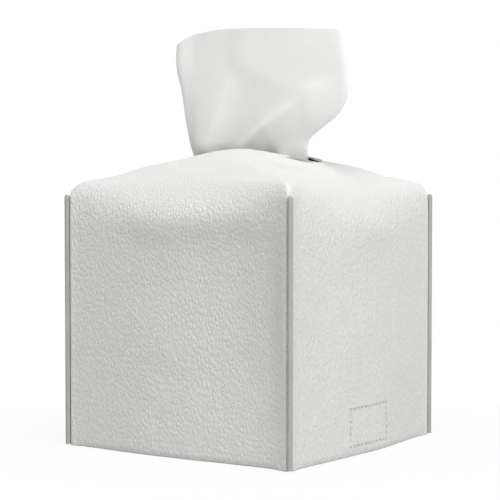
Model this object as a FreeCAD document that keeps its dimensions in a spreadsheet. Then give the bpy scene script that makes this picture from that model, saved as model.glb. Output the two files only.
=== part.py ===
"""Soft leather cover for a cube of facial tissues, with its belt, the carton that it holds and the
sheet that stands in its slot.

Units are millimetres. +Z is up, the origin is on the table under the middle of the cover, -Y is the front
panel and +X is the panel that the belt is sewn to. The slot runs along X.
"""

import FreeCAD
import Part
import math
import os

import Sketcher
from FreeCAD import Placement, Rotation, Vector

# Driving sizes: alias, value, what it measures. Lengths are in mm, angles in degrees.
SIZES = [
    ("leather_thickness", 1.7, "white skin with the grey fibre backing that it is bonded to"),
    ("carton_side", 114.0, "width and depth of the cube carton"),
    ("carton_height", 112.0, "height of the cube carton"),
    ("carton_board", 0.8, "paperboard of the carton"),
    ("carton_clearance", 5.1, "carton to the inside of the cover, each side"),
    ("seat_gap", 0.3, "soft piece to what it lies against"),
    ("floor_gap", 0.5, "underside of the belt above the table"),
    ("seam_lift", 2.3, "corner walls end this far above the carton"),
    ("seam_allowance", 4.8, "turned-in edges of the panels inside each corner"),
    ("piping_radius", 1.4, "grey cord in each corner seam"),
    ("piping_taper", 0.6, "upper end of the cord draws in by this much"),
    ("piping_proud", 0.3, "middle of the cord past the corner of the panels"),
    ("piping_gap", 0.1, "cord to the leather on either side"),
    ("crown_rise", 23.9, "middle of the top above the corner walls"),
    ("dome_rise", 43.7, "middle of the top above the flat part of a panel"),
    ("dome_power", 2.2, "fullness of the dome, where 2 is an ellipse"),
    ("corner_radius", 7.5, "roll of the leather at a corner"),
    ("ridge_angle", 11.5, "fall of the ridge from the middle to a corner"),
    ("slot_length", 76.0, "slot in the top, along X"),
    ("slot_width", 24.0, "slot in the top, along Y"),
    ("stitch_pitch", 3.1, "one stitch to the next"),
    ("stitch_length", 2.3, "thread that shows in one stitch"),
    ("stitch_width", 0.8, "thread across"),
    ("stitch_height", 0.35, "thread above the leather"),
    ("seam_stitch_inset", 1.7, "corner stitching in from the turned-in edges"),
    ("seam_stitch_margin", 3.0, "corner stitching starts this far from the hem and the seam's end"),
    ("strap_width", 37.0, "belt, along Y"),
    ("strap_thickness", 1.2, "leather of the belt"),
    ("strap_tip_radius", 7.0, "rounded corners at the belt's free end"),
    ("strap_tip_inset", 15.0, "belt's free end to the far panel"),
    ("tab_height", 22.5, "sewn end of the belt, up the panel"),
    ("tab_corner_radius", 2.0, "corners of the sewn ends"),
    ("tab_bend_radius", 1.5, "inside of the bend of the closing tab"),
    ("tab_stitch_margin", 2.5, "box of stitches in from the edge of the sewn end"),
    ("patch_length", 26.0, "hook and loop patches, along X"),
    ("patch_margin", 3.0, "patch to the edge of its strap"),
    ("patch_corner_radius", 2.0, "corners of the patches"),
    ("patch_stitch_margin", 1.6, "stitches in from the edge of a patch"),
    ("hook_thickness", 0.9, "hook patch"),
    ("loop_thickness", 0.9, "loop patch"),
    ("patch_gap", 0.1, "hooks to loops when the belt is closed"),
    ("mouth_margin", 4.0, "opening of the carton past the slot, all round"),
    ("stack_clearance", 2.0, "folded sheets to the carton's wall"),
    ("stack_height", 55.0, "folded sheets left in the carton"),
    ("stack_fold_radius", 6.0, "rounded folds along two sides of the stack"),
    ("sheet_thickness", 2.4, "both layers of the folded sheet and the air between them"),
    ("sheet_end_clearance", 3.0, "gathered sheet to each end of the slot"),
    ("sheet_fold_depth", 5.0, "half the depth of the folds in the slot"),
    ("sheet_swell", 6.0, "each layer stands this far out where the sheet is fullest"),
    ("sheet_left_reach", 45.0, "folded edge of the sheet to the middle of the slot"),
    ("sheet_right_reach", 57.0, "open edges of the sheet to the middle of the slot"),
    ("sheet_rise", 56.0, "middle of the sheet's upper edge above the slot"),
    ("sheet_lean", 7.0, "one end of the upper edge above the other"),
    ("cut_overrun", 2.0, "cutting shapes reach this far past what they cut"),
    ("cap_depth", 0.35, "level top of the form below its crown, inside the slot"),
]

# Sizes that follow from the driving ones: alias, formula.
DERIVED = [
    ("inner_half", "sizes.carton_side / 2 + sizes.carton_clearance"),
    ("outer_half", "derived.inner_half + sizes.leather_thickness"),
    ("strap_top", "sizes.floor_gap + sizes.strap_thickness"),
    ("hook_top", "derived.strap_top + sizes.hook_thickness"),
    ("loop_base", "derived.hook_top + sizes.patch_gap"),
    ("tab_base", "derived.loop_base + sizes.loop_thickness"),
    ("tab_top", "derived.tab_base + sizes.strap_thickness"),
    ("carton_base", "derived.tab_top + sizes.stitch_height + sizes.seat_gap"),
    ("carton_top", "derived.carton_base + sizes.carton_height"),
    ("corner_top", "derived.carton_top + sizes.seam_lift"),
    ("crown", "derived.corner_top + sizes.crown_rise"),
    ("dome_base", "derived.crown - sizes.dome_rise"),
    ("corner_reach", "sqrt(2) * derived.outer_half"),
    ("seam_root", "derived.corner_reach - sqrt(2) * sizes.leather_thickness"),
    ("piping_reach", "derived.corner_reach + sizes.piping_proud"),
    ("hinge_x", "derived.inner_half - sizes.seat_gap - sizes.strap_thickness / 2"),
    ("hinge_z", "sizes.floor_gap + sizes.strap_thickness / 2"),
    ("strap_reach", "derived.hinge_x + derived.inner_half - sizes.strap_tip_inset"),
    ("root_base", "derived.strap_top + sizes.seat_gap"),
    ("patch_width", "sizes.strap_width - 2 * sizes.patch_margin"),
    ("patch_x", "derived.hinge_x - derived.strap_reach + sizes.patch_margin + sizes.patch_length / 2"),
    ("tab_wall_x", "sizes.seat_gap - derived.inner_half"),
    ("tab_reach", "derived.patch_x + sizes.patch_length / 2 + sizes.patch_margin - derived.tab_wall_x"),
    ("carton_inner", "sizes.carton_side - 2 * sizes.carton_board"),
    ("stack_side", "derived.carton_inner - 2 * sizes.stack_clearance"),
    ("stack_base", "derived.carton_base + sizes.carton_board"),
    ("stack_top", "derived.stack_base + sizes.stack_height"),
    ("sheet_base", "derived.stack_top + sizes.seat_gap"),
    ("tab_box_base", "derived.tab_top + sizes.tab_bend_radius"),
    ("tab_box_top", "derived.root_base + sizes.tab_height - sizes.tab_stitch_margin"),
    ("tab_leg", "derived.root_base + sizes.tab_height - derived.tab_base"),
    ("tab_box_half", "sizes.strap_width / 2 - sizes.tab_stitch_margin"),
    ("mouth_length", "sizes.slot_length + 2 * sizes.mouth_margin"),
    ("mouth_width", "sizes.slot_width + 2 * sizes.mouth_margin"),
    ("sleeve_height", "sizes.carton_height - 2 * sizes.carton_board"),
]

# Levels of the dome, from the flat panels to the crown.
DOME_SHARES = (0.0, 0.12, 0.25, 0.37, 0.46, 0.54, 0.61, 0.70, 0.80, 0.89, 0.96, 1.0)

# Levels of the sheet above the slot: height, spread of its left and right edges, depth of its folds, swell.
SHEET_SHARES = (
    (0.00, 0.00, 0.00, 1.00, 0.00),
    (0.18, 0.37, 0.36, 0.85, 0.30),
    (0.42, 0.60, 1.00, 0.60, 0.75),
    (0.75, 0.94, 0.95, 0.50, 1.00),
    (1.00, 0.88, 0.83, 0.50, 0.90),
)
SHEET_FOLDS = 1

# Corners of the cover and the way each one points, turned from +X.
CORNER_ANGLES = {"front_right": -45, "back_right": 45, "back_left": 135, "front_left": 225}
DIAGONAL_SHARE = math.sqrt(2)

doc = FreeCAD.newDocument("TissueBoxCover")


# The sheet of sizes and what follows from it

def write_sizes():
    """One row for each driving size: its name, its value under an alias, and what it measures."""
    table = doc.addObject("Spreadsheet::Sheet", "sizes")
    for row, (alias, value, note) in enumerate(SIZES, start=1):
        table.set(f"A{row}", alias)
        table.set(f"B{row}", str(value))
        table.set(f"C{row}", note)
        table.setAlias(f"B{row}", alias)
    doc.recompute()
    return table


def write_derived():
    """An object whose properties hold the sizes that follow from the sheet."""
    holder = doc.addObject("App::FeaturePython", "derived")
    for alias, formula in DERIVED:
        holder.addProperty("App::PropertyFloat", alias)
        holder.setExpression(alias, formula)
    doc.recompute()
    return holder


sizes = write_sizes()
derived = write_derived()

# Building blocks

def origin_plane(body, role):
    """The body's own origin plane with this role."""
    return next(item for item in body.Origin.OriginFeatures if item.Role == role)


def new_body(label, place):
    """An empty body whose placement follows the formulas in place."""
    body = doc.addObject("PartDesign::Body", label)
    body.Label = label
    for axis, formula in place.items():
        body.setExpression(f"Placement.Base.{axis}", formula)
    return body


def new_sketch(body, role, name):
    """An empty sketch on one of the body's origin planes."""
    sketch = body.newObject("Sketcher::SketchObject", name)
    sketch.AttachmentSupport = [(origin_plane(body, role), "")]
    sketch.MapMode = "FlatFace"
    return sketch


def add_lines(sketch, corners):
    """Closed run of lines through the corners, joined end to end; gives the number of the first."""
    first = sketch.GeometryCount
    count = len(corners)
    for start, end in zip(corners, corners[1:] + corners[:1]):
        sketch.addGeometry(Part.LineSegment(Vector(*start, 0), Vector(*end, 0)), False)
    for step in range(count):
        join = ("Coincident", first + step, 2, first + (step + 1) % count, 1)
        sketch.addConstraint(Sketcher.Constraint(*join))
    return first


def drive(sketch, kind, items, formula, value):
    """A dimension of the sketch that follows a formula."""
    number = sketch.addConstraint(Sketcher.Constraint(kind, *items, value))
    sketch.setExpression(f"Constraints[{number}]", formula)


def add_rectangle(sketch, across, up):
    """Rectangle about the sketch's origin; across and up are formulas."""
    half_x, half_y = number_of(across) / 2, number_of(up) / 2
    low = [(-half_x, -half_y), (half_x, -half_y)]
    first = add_lines(sketch, low + [(half_x, half_y), (-half_x, half_y)])
    for side, turn in enumerate(("Horizontal", "Vertical") * 2):
        sketch.addConstraint(Sketcher.Constraint(turn, first + side))
    sketch.addConstraint(Sketcher.Constraint("Symmetric", first, 1, first + 1, 2, -1, 1))
    drive(sketch, "DistanceX", (first, 1, first, 2), across, 2 * half_x)
    drive(sketch, "DistanceY", (first + 1, 1, first + 1, 2), up, 2 * half_y)


def number_of(formula):
    """Present value of a one-word formula."""
    holder, alias = formula.split(".")
    return getattr(doc.getObject(holder), alias)


def add_pad(body, sketch, formula, midplane=False):
    """Pad of the sketch whose length follows a formula."""
    pad = body.newObject("PartDesign::Pad", "Pad")
    pad.Profile = sketch
    pad.Midplane = midplane
    pad.setExpression("Length", formula)
    sketch.Visibility = False
    doc.recompute()
    return pad


def add_fillet(body, base, formula, wanted):
    """Fillet of those edges of the base that the test wanted picks."""
    names = [f"Edge{number}" for number, edge in enumerate(base.Shape.Edges, start=1) if wanted(edge)]
    fillet = body.newObject("PartDesign::Fillet", "Fillet")
    fillet.Base = (base, names)
    fillet.setExpression("Radius", formula)
    doc.recompute()
    return fillet


def runs_along(axis):
    """Test for straight edges that run along one axis."""
    def test(edge):
        if edge.Curve.TypeId != "Part::GeomLine":
            return False
        return abs(abs(getattr(edge.Curve.Direction, axis)) - 1) < Part.Precision.confusion()
    return test


def rounded_plate(label, role, across, up, thickness, radius, place):
    """Flat plate with four rounded corners, padded up from one of its body's origin planes."""
    body = new_body(label, place)
    sketch = new_sketch(body, role, "Outline")
    add_rectangle(sketch, across, up)
    pad = add_pad(body, sketch, thickness)
    add_fillet(body, pad, radius, runs_along({"XY_Plane": "z", "YZ_Plane": "x"}[role]))
    return body


def set_shape(label, shape):
    """A sub-part whose shape is made from the sizes directly."""
    feature = doc.addObject("Part::Feature", label)
    feature.Label = label
    feature.Shape = shape
    return feature


def stadium(length, width):
    """Upright cutter's outline: a face with two straight sides and two round ends, long along X."""
    radius = width / 2
    flat = length / 2 - radius
    right = Part.Arc(Vector(flat, -radius, 0), Vector(length / 2, 0, 0), Vector(flat, radius, 0))
    left = Part.Arc(Vector(-flat, radius, 0), Vector(-length / 2, 0, 0), Vector(-flat, -radius, 0))
    front = Part.LineSegment(left.EndPoint, right.StartPoint)
    back = Part.LineSegment(right.EndPoint, left.StartPoint)
    return Part.Face(Part.Wire([edge.toShape() for edge in (front, right, back, left)]))


# The leather: one blank, draped over the carton and sewn at its corners

def panel_half(height, inset):
    """Half width at the middle of a panel: upright, then the curve of the dome."""
    share = max(0, height - derived.dome_base) / (sizes.dome_rise - inset)
    return (derived.outer_half - inset) * (1 - share ** sizes.dome_power) ** (1 / sizes.dome_power)


def corner_half(height, inset):
    """Half width from corner to corner: upright, then a tight roll, then a straight ridge."""
    middle = derived.corner_reach - sizes.corner_radius
    roll = sizes.corner_radius - DIAGONAL_SHARE * inset
    rise = height - derived.corner_top
    if rise <= 0:
        return middle + roll
    fall = math.radians(sizes.ridge_angle)
    if rise <= roll * math.cos(fall):
        return middle + math.sqrt(roll ** 2 - rise ** 2)
    return middle + (roll - rise * math.cos(fall)) / math.sin(fall)


def level_outline(height, inset):
    """Closed outline of the form at one height: four sides, straight on the panels and bowed on the dome."""
    middle = panel_half(height, inset)
    corner = max(corner_half(height, inset), middle) / DIAGONAL_SHARE
    low, high = Vector(corner, -corner, height), Vector(corner, corner, height)
    mid = Vector(middle, 0, height)
    flat = abs(corner - middle) < Part.Precision.approximation()
    side = Part.LineSegment(low, high) if flat else Part.Arc(low, mid, high)
    sides = [side.toShape().rotated(Vector(), Vector(0, 0, 1), 90 * turn) for turn in range(4)]
    return Part.Wire(sides)


def draped_form(inset, base):
    """Solid of the draped form, drawn in by inset: flat panels from base up, then the levels of the dome."""
    start = derived.dome_base
    top = derived.crown - inset - sizes.cap_depth
    outlines = [level_outline(start + share * (top - start), inset) for share in DOME_SHARES]
    panels = Part.Face(level_outline(base, inset)).extrude(Vector(0, 0, start - base))
    return panels.fuse(Part.makeLoft(outlines, True, True))


def at_corners(shape):
    """Copies of a shape that points along +X, one turned to each corner."""
    return [shape.rotated(Vector(), Vector(0, 0, 1), angle) for angle in CORNER_ANGLES.values()]


def turned_in_edges():
    """Edges of two panels, face to face inside one corner, pointing along +X."""
    plies = 2 * sizes.leather_thickness
    reach = sizes.seam_allowance + sizes.leather_thickness / 2
    foot = Vector(derived.seam_root - sizes.seam_allowance, -plies / 2, 0)
    return Part.makeBox(reach, plies, derived.corner_top, foot)


def piping_room():
    """Groove for the cord of one corner, pointing along +X, with a tapered upper end."""
    radius = sizes.piping_radius + sizes.piping_gap
    foot = Vector(derived.piping_reach, 0, -sizes.cut_overrun)
    head = Vector(derived.piping_reach, 0, derived.corner_top)
    end = Part.makeCone(radius, radius - sizes.piping_taper, sizes.piping_radius + sizes.piping_gap, head)
    return Part.makeCylinder(radius, head.z - foot.z, foot).fuse(end)


def make_leather():
    """Draped shell, open below, with turned-in seams and room for a cord at each corner, and the slot."""
    outside = draped_form(0, 0).cut(at_corners(piping_room()))
    inside = draped_form(sizes.leather_thickness, -sizes.cut_overrun)
    inside = inside.cut(at_corners(turned_in_edges()))
    slot = stadium(sizes.slot_length, sizes.slot_width).extrude(Vector(0, 0, 2 * sizes.dome_rise))
    slot.translate(Vector(0, 0, derived.dome_base))
    set_shape("leather_cover", outside.cut(inside).cut(slot))


def make_piping():
    """Cord in each corner seam, from just above the table to its tapered upper end."""
    for corner, angle in CORNER_ANGLES.items():
        cord = doc.addObject("Part::Cylinder", "Cord")
        cord.setExpression("Radius", "sizes.piping_radius")
        cord.setExpression("Height", "derived.corner_top - sizes.floor_gap")
        end = doc.addObject("Part::Cone", "CordEnd")
        end.setExpression("Radius1", "sizes.piping_radius")
        end.setExpression("Radius2", "sizes.piping_radius - sizes.piping_taper")
        end.setExpression("Height", "sizes.piping_radius")
        for piece, base in ((cord, "sizes.floor_gap"), (end, "derived.corner_top")):
            piece.setExpression("Placement.Base.x", f"derived.piping_reach * cos({angle})")
            piece.setExpression("Placement.Base.y", f"derived.piping_reach * sin({angle})")
            piece.setExpression("Placement.Base.z", base)
        piping = doc.addObject("Part::Fuse", f"corner_piping_{corner}")
        piping.Label = f"corner_piping_{corner}"
        piping.Base, piping.Tool = cord, end


# Thread

def one_stitch():
    """Stitch along X on a surface that faces +Y: a bar with a three-sided section."""
    length, width, height = sizes.stitch_length, sizes.stitch_width, sizes.stitch_height
    places = ((-width / 2, 0), (width / 2, 0), (0, height), (-width / 2, 0))
    section = Part.makePolygon([Vector(-length / 2, y, z) for z, y in places])
    return Part.Face(section).extrude(Vector(length, 0, 0))


def stitch_row(start, end, outward):
    """Evenly spaced stitches from start to end on a surface that faces outward."""
    run = end - start
    count = round(run.Length / sizes.stitch_pitch)
    along = Vector(run).normalize()
    turn = Rotation(along, outward, along.cross(outward), "XYZ")
    places = [start + run * ((step + 1 / 2) / count) for step in range(count)]
    return [one_stitch().transformed(Placement(place, turn).toMatrix()) for place in places]


def stitch_box(corners, outward):
    """Stitches round a rectangle given by its four corners."""
    rows = [stitch_row(start, end, outward) for start, end in zip(corners, corners[1:] + corners[:1])]
    return [stitch for row in rows for stitch in row]


def make_corner_threads():
    """Two rows of stitches in each corner, one on either side of the turned-in edges."""
    reach = derived.seam_root - sizes.seam_allowance + sizes.seam_stitch_inset
    low = sizes.seam_stitch_margin
    high = derived.corner_top - sizes.seam_stitch_margin
    rows = []
    for side in (-1, 1):
        foot = Vector(reach, side * sizes.leather_thickness, low)
        head = Vector(reach, side * sizes.leather_thickness, high)
        rows += stitch_row(foot, head, Vector(0, side, 0))
    for corner, pair in zip(CORNER_ANGLES, at_corners(Part.makeCompound(rows))):
        set_shape(f"corner_thread_{corner}", pair)


def upright_box(x, half, low, high):
    """Corners of an upright rectangle across the panel at x."""
    return [Vector(x, y, z) for y, z in ((-half, low), (half, low), (half, high), (-half, high))]


def level_box(x, z, length, width):
    """Corners of a level rectangle about the middle of a strap."""
    places = ((-length, -width), (length, -width), (length, width), (-length, width))
    return [Vector(x + along / 2, across / 2, z) for along, across in places]


def make_tab_threads():
    """Boxes of stitches on the panels, which hold the sewn ends of the belt."""
    half, top = derived.tab_box_half, derived.tab_box_top
    boxes = {
        "belt_root_thread": (1, derived.root_base + sizes.tab_stitch_margin),
        "closing_tab_thread": (-1, derived.tab_box_base),
    }
    for label, (side, low) in boxes.items():
        corners = upright_box(side * derived.outer_half, half, low, top)
        set_shape(label, Part.makeCompound(stitch_box(corners, Vector(side, 0, 0))))


def make_patch_threads():
    """Stitches round each patch, on the side of its strap that is away from the patch."""
    length = sizes.patch_length - 2 * sizes.patch_stitch_margin
    width = derived.patch_width - 2 * sizes.patch_stitch_margin
    below = level_box(derived.patch_x, sizes.floor_gap, length, width)
    above = level_box(derived.patch_x, derived.tab_top, length, width)
    set_shape("hook_patch_thread", Part.makeCompound(stitch_box(below, Vector(0, 0, -1))))
    set_shape("loop_patch_thread", Part.makeCompound(stitch_box(above, Vector(0, 0, 1))))


# Belt under the carton

def make_belt_root():
    """Sewn end of the belt, flat against the inside of the right panel."""
    place = {
        "x": "derived.hinge_x - sizes.strap_thickness / 2",
        "z": "derived.root_base + sizes.tab_height / 2",
    }
    wide, tall, thick = "sizes.strap_width", "sizes.tab_height", "sizes.strap_thickness"
    rounded_plate("belt_root", "YZ_Plane", wide, tall, thick, "sizes.tab_corner_radius", place)


def make_belt_strap():
    """Free length of the belt: round where it bends at its root, with rounded corners at its tip."""
    body = new_body("belt_strap", {"x": "derived.hinge_x", "z": "derived.hinge_z"})
    sketch = new_sketch(body, "XZ_Plane", "Edge")
    half, reach = sizes.strap_thickness / 2, derived.strap_reach
    lines = [((0, half), (-reach, half)), ((-reach, half), (-reach, -half)), ((-reach, -half), (0, -half))]
    for start, end in lines:
        sketch.addGeometry(Part.LineSegment(Vector(*start, 0), Vector(*end, 0)), False)
    circle = Part.Circle(Vector(), Vector(0, 0, 1), half)
    sketch.addGeometry(Part.ArcOfCircle(circle, -math.pi / 2, math.pi / 2), False)
    joins = [("Coincident", 0, 2, 1, 1), ("Coincident", 1, 2, 2, 1), ("Coincident", 3, 3, -1, 1)]
    joins += [("Tangent", 2, 2, 3, 1), ("Tangent", 3, 2, 0, 1), ("Horizontal", 0), ("Vertical", 1)]
    for join in joins:
        sketch.addConstraint(Sketcher.Constraint(*join))
    drive(sketch, "Radius", (3,), "sizes.strap_thickness / 2", half)
    drive(sketch, "DistanceX", (0, 2, -1, 1), "derived.strap_reach", reach)
    pad = add_pad(body, sketch, "sizes.strap_width", midplane=True)
    add_fillet(body, pad, "sizes.strap_tip_radius", runs_along("z"))


def bend_through(place):
    """Test for the edge across the tab that passes through one place."""
    def test(edge):
        return runs_along("y")(edge) and edge.CenterOfMass.isEqual(place, sizes.strap_thickness / 2)
    return test


def is_end_corner(edge):
    """Whether an edge is a corner at an end of the tab, as long as the leather is thick."""
    short = edge.Length < DIAGONAL_SHARE * sizes.strap_thickness
    return short and (runs_along("z")(edge) or runs_along("x")(edge))


def make_closing_tab():
    """Short tab sewn inside the left panel and bent to lie level over the belt's tip."""
    body = new_body("closing_tab", {"x": "derived.tab_wall_x", "z": "derived.tab_base"})
    sketch = new_sketch(body, "XZ_Plane", "Edge")
    reach, leg, thick = derived.tab_reach, derived.tab_leg, sizes.strap_thickness
    corners = [(0, 0), (reach, 0), (reach, thick), (thick, thick), (thick, leg), (0, leg)]
    add_lines(sketch, corners)
    for side, turn in enumerate(("Horizontal", "Vertical") * 3):
        sketch.addConstraint(Sketcher.Constraint(turn, side))
    sketch.addConstraint(Sketcher.Constraint("Coincident", 0, 1, -1, 1))
    drive(sketch, "DistanceX", (0, 1, 0, 2), "derived.tab_reach", reach)
    drive(sketch, "DistanceY", (1, 1, 1, 2), "sizes.strap_thickness", thick)
    drive(sketch, "DistanceX", (4, 2, 4, 1), "sizes.strap_thickness", thick)
    drive(sketch, "DistanceY", (5, 2, 5, 1), "derived.tab_leg", leg)
    pad = add_pad(body, sketch, "sizes.strap_width", midplane=True)
    inside, outside = Vector(thick, 0, thick), Vector()
    bent = add_fillet(body, pad, "sizes.tab_bend_radius", bend_through(inside))
    bent = add_fillet(body, bent, "sizes.tab_bend_radius + sizes.strap_thickness", bend_through(outside))
    add_fillet(body, bent, "sizes.tab_corner_radius", is_end_corner)


def make_patches():
    """Hook patch on top of the belt's tip and loop patch under the closing tab."""
    bases = {"hook_patch": ("derived.strap_top", "sizes.hook_thickness"),
             "loop_patch": ("derived.loop_base", "sizes.loop_thickness")}
    for label, (base, thickness) in bases.items():
        place = {"x": "derived.patch_x", "z": base}
        across, up, radius = "sizes.patch_length", "derived.patch_width", "sizes.patch_corner_radius"
        rounded_plate(label, "XY_Plane", across, up, thickness, radius, place)


# Refill

def square_tube(label):
    """Four walls of the carton."""
    outer = doc.addObject("Part::Box", "WallOutside")
    inner = doc.addObject("Part::Box", "WallInside")
    for box, side in ((outer, "sizes.carton_side"), (inner, "derived.carton_inner")):
        for edge, formula in (("Length", side), ("Width", side), ("Height", "derived.sleeve_height")):
            box.setExpression(edge, formula)
        for axis, formula in (("x", f"-{side} / 2"), ("y", f"-{side} / 2"), ("z", "derived.stack_base")):
            box.setExpression(f"Placement.Base.{axis}", formula)
    walls = doc.addObject("Part::Cut", label)
    walls.Label = label
    walls.Base, walls.Tool = outer, inner


def make_carton():
    """Walls, bottom and top of the carton; the top has an opening a little larger than the slot."""
    square_tube("carton_wall")
    bottom = new_body("carton_bottom", {"z": "derived.carton_base"})
    outline = new_sketch(bottom, "XY_Plane", "Outline")
    add_rectangle(outline, "sizes.carton_side", "sizes.carton_side")
    add_pad(bottom, outline, "sizes.carton_board")
    top = new_body("carton_top", {"z": "derived.carton_top - sizes.carton_board"})
    outline = new_sketch(top, "XY_Plane", "Outline")
    add_rectangle(outline, "sizes.carton_side", "sizes.carton_side")
    add_stadium(outline, "derived.mouth_length", "derived.mouth_width")
    add_pad(top, outline, "sizes.carton_board")


def add_stadium(sketch, length, width):
    """Opening with two straight sides and two round ends about the sketch's origin."""
    first = sketch.GeometryCount
    radius = number_of(width) / 2
    flat = number_of(length) / 2 - radius
    ends = [Part.Circle(Vector(side * flat, 0, 0), Vector(0, 0, 1), radius) for side in (1, -1)]
    sketch.addGeometry(Part.LineSegment(Vector(-flat, -radius, 0), Vector(flat, -radius, 0)), False)
    sketch.addGeometry(Part.ArcOfCircle(ends[0], -math.pi / 2, math.pi / 2), False)
    sketch.addGeometry(Part.LineSegment(Vector(flat, radius, 0), Vector(-flat, radius, 0)), False)
    sketch.addGeometry(Part.ArcOfCircle(ends[1], math.pi / 2, 3 * math.pi / 2), False)
    for step in range(4):
        join = ("Tangent", first + step, 2, first + (step + 1) % 4, 1)
        sketch.addConstraint(Sketcher.Constraint(*join))
    sketch.addConstraint(Sketcher.Constraint("Horizontal", first))
    sketch.addConstraint(Sketcher.Constraint("Symmetric", first + 1, 3, first + 3, 3, -1, 1))
    drive(sketch, "Radius", (first + 1,), f"{width} / 2", radius)
    drive(sketch, "DistanceX", (first + 3, 3, first + 1, 3), f"{length} - {width}", 2 * flat)


def make_stack():
    """Folded sheets left in the carton, round where they are folded."""
    body = new_body("tissue_stack", {"z": "derived.stack_base"})
    sketch = new_sketch(body, "XY_Plane", "Outline")
    add_rectangle(sketch, "derived.stack_side", "derived.stack_side")
    pad = add_pad(body, sketch, "sizes.stack_height")
    add_fillet(body, pad, "sizes.stack_fold_radius", runs_along("x"))


# Sheet in the slot

def folded_outline(left, right, depth, swell):
    """Level outline of the gathered sheet: a band with a row of round folds, fullest in its middle."""
    count = 2 * SHEET_FOLDS
    step = (left + right) / count
    half = sizes.sheet_thickness / 2
    front, back = [], []
    for fold in range(count):
        start = -left + fold * step
        peak = depth if fold % 2 else -depth
        for edges, side in ((front, -1), (back, 1)):
            points = []
            for x, fold_y in ((start, 0), (start + step / 2, peak), (start + step, 0)):
                from_middle_share = (2 * x + left - right) / (left + right)
                points.append(Vector(x, fold_y + side * (half + swell * (1 - from_middle_share ** 2)), 0))
            edges.append(Part.Arc(*points).toShape())
    left_end = Part.LineSegment(Vector(-left, half, 0), Vector(-left, -half, 0)).toShape()
    right_end = Part.LineSegment(Vector(right, -half, 0), Vector(right, half, 0)).toShape()
    return Part.Wire(front + [right_end] + back[::-1] + [left_end])


def make_sheet():
    """Sheet of tissue, folded double: a gathered tail in the carton that opens out above the slot."""
    gathered = sizes.slot_length / 2 - sizes.sheet_end_clearance
    lean = math.degrees(math.atan(sizes.sheet_lean / (sizes.sheet_left_reach + sizes.sheet_right_reach)))
    levels = []
    for rise, left_spread, right_spread, depth, swell in SHEET_SHARES:
        left = gathered + left_spread * (sizes.sheet_left_reach - gathered)
        right = gathered + right_spread * (sizes.sheet_right_reach - gathered)
        outline = folded_outline(left, right, depth * sizes.sheet_fold_depth, swell * sizes.sheet_swell)
        outline.rotate(Vector(), Vector(0, -1, 0), rise * lean)
        outline.translate(Vector(0, 0, derived.crown + rise * sizes.sheet_rise))
        levels.append(outline)
    tail = Part.Face(levels[0]).extrude(Vector(0, 0, derived.sheet_base - derived.crown))
    set_shape("pulled_sheet", tail.fuse(Part.makeLoft(levels, True, True)))


# The whole

NODES = (
    ["leather_cover"]
    + [f"corner_piping_{corner}" for corner in CORNER_ANGLES]
    + [f"corner_thread_{corner}" for corner in CORNER_ANGLES]
    + ["belt_root", "belt_root_thread", "belt_strap", "hook_patch", "hook_patch_thread"]
    + ["closing_tab", "closing_tab_thread", "loop_patch", "loop_patch_thread"]
    + ["carton_wall", "carton_bottom", "carton_top", "tissue_stack", "pulled_sheet"]
)


def check_and_write():
    """Stop at anything that failed, then write each sub-part's solid to its own file."""
    for item in doc.Objects:
        if "Invalid" in item.State or "Error" in item.State:
            raise RuntimeError(f"{item.Label} failed: {item.State}")
    os.makedirs("parts", exist_ok=True)
    for node in NODES:
        shape = doc.getObjectsByLabel(node)[0].Shape
        if shape.isNull() or not shape.isValid() or not shape.Solids:
            raise RuntimeError(f"{node} has no valid solid")
        shape.exportStep(f"parts/{node}.step")


make_leather()
make_piping()
make_corner_threads()
make_tab_threads()
make_patch_threads()
make_belt_root()
make_belt_strap()
make_closing_tab()
make_patches()
make_carton()
make_stack()
make_sheet()
doc.recompute()
check_and_write()
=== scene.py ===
"""Looks of a soft tissue box cover: white pebbled leather draped over a cube carton, the grey piping in its
corner seams, the belt under the carton and the sheet of tissue that stands in the slot.

Sizes are in millimetres and are turned to metres when a mesh is written. +Z is up, -Y is the front panel,
+X is the panel that the belt is sewn to, and the slot runs along X.
"""

import math

import bmesh
import bpy
from mathutils import Matrix, Vector, noise


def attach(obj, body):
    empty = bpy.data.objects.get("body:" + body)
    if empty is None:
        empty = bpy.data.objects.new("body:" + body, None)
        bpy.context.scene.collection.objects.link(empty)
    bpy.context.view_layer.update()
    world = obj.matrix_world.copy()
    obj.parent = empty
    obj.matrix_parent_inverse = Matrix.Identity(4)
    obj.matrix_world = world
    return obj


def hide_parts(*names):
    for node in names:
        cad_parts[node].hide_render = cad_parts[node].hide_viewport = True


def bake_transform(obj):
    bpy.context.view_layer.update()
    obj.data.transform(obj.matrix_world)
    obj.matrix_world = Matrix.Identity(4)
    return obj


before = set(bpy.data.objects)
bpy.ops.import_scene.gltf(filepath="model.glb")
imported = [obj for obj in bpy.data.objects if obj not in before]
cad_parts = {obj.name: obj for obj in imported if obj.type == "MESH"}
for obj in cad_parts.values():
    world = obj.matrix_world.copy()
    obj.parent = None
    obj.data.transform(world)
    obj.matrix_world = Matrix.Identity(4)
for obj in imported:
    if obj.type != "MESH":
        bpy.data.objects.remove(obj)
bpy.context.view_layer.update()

MM = 0.001
ROOT_TWO = math.sqrt(2)

# Leather of the cover; the skirt runs over the roll and down to the hem
LEATHER = 1.7
PANEL_HALF = 63.8
CROWN = 143.65
DOME_RISE = 43.7
DOME_BASE = CROWN - DOME_RISE
DOME_POWER = 2.2
CORNER_REACH = ROOT_TWO * PANEL_HALF
CORNER_TOP = 119.75
CORNER_ROLL = 7.5
RIDGE_FALL = math.radians(11.5)
SLOT_STRAIGHT = 26.0
SLOT_RADIUS = 12.0
LIP_ROUND = 0.5
HEM_ROUND = 0.4

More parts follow.
